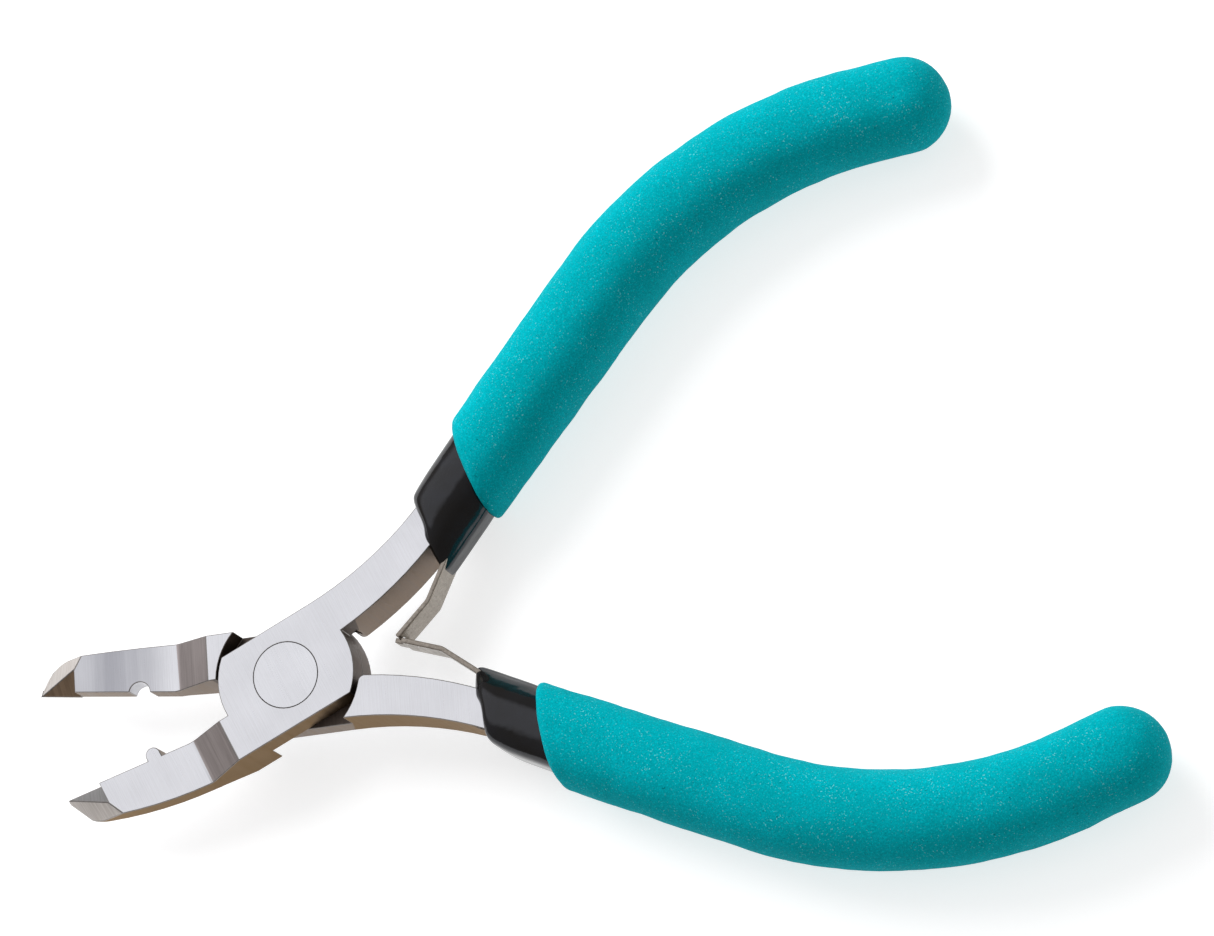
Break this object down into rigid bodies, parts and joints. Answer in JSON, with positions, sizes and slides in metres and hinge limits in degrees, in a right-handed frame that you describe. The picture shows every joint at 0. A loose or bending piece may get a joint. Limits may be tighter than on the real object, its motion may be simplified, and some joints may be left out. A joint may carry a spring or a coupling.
{
  "type": "crimping pliers",
  "caption": "Jewellery crimping pliers with a peg and notch in the jaws, a nipper tip, a lap joint, paired leaf springs and foam grips on dipped sleeves.",
  "frame": {"origin": "centre of the joint's lower flat face, on the pivot axis", "axes": "+Z along the pivot axis, up through the joint; +X along the tool from the jaws to the handles, halfway between them; +Y towards the upper handle"},
  "size_m": [0.1263, 0.0952, 0.0122],
  "materials": {
    "tool_steel": "cross-ground steel, fine brushing across each lever",
    "rivet_steel": "ground flush with the joint",
    "spring_steel": "plain spring strip, slightly warm grey",
    "dipped_vinyl": "glossy black dipped vinyl",
    "teal_foam": "matte closed-cell foam, fine speckle"
  },
  "bodies": {
    "notch_half": {"notch_jaw_lever": "tool_steel", "pivot_rivet": "rivet_steel", "lower_spring_foot": "spring_steel", "lower_spring_rivet": "rivet_steel", "lower_inner_sleeve": "dipped_vinyl", "lower_foam_grip": "teal_foam"},
    "peg_half": {"peg_jaw_lever": "tool_steel", "upper_spring_foot": "spring_steel", "upper_spring_rivet": "rivet_steel", "upper_inner_sleeve": "dipped_vinyl", "upper_foam_grip": "teal_foam"},
    "upper_leaf": {"upper_leaf_spring": "spring_steel"},
    "lower_leaf": {"lower_leaf_spring": "spring_steel"}
  },
  "joints": [
    {"name": "main_pivot", "type": "hinge", "parent": "notch_half", "child": "peg_half", "pos_m": [0, 0, 0.0035], "axis": [0, 0, -1], "range_deg": [0, 24], "stiffness_Nm_per_rad": 0.5},
    {"name": "upper_leaf_flex", "type": "hinge", "parent": "peg_half", "child": "upper_leaf", "pos_m": [0.02167, 0.00675, 0.0035], "axis": [0, 0, -1], "range_deg": [0, 19.68]},
    {"name": "lower_leaf_flex", "type": "hinge", "parent": "notch_half", "child": "lower_leaf", "pos_m": [0.02167, -0.00675, 0.0035], "axis": [0, 0, 1], "range_deg": [0, 19.68]}
  ],
  "couplings": [
    {"joint": "upper_leaf_flex", "follows": "main_pivot", "ratio": 0.82},
    {"joint": "lower_leaf_flex", "follows": "main_pivot", "ratio": 0.82}
  ]
}
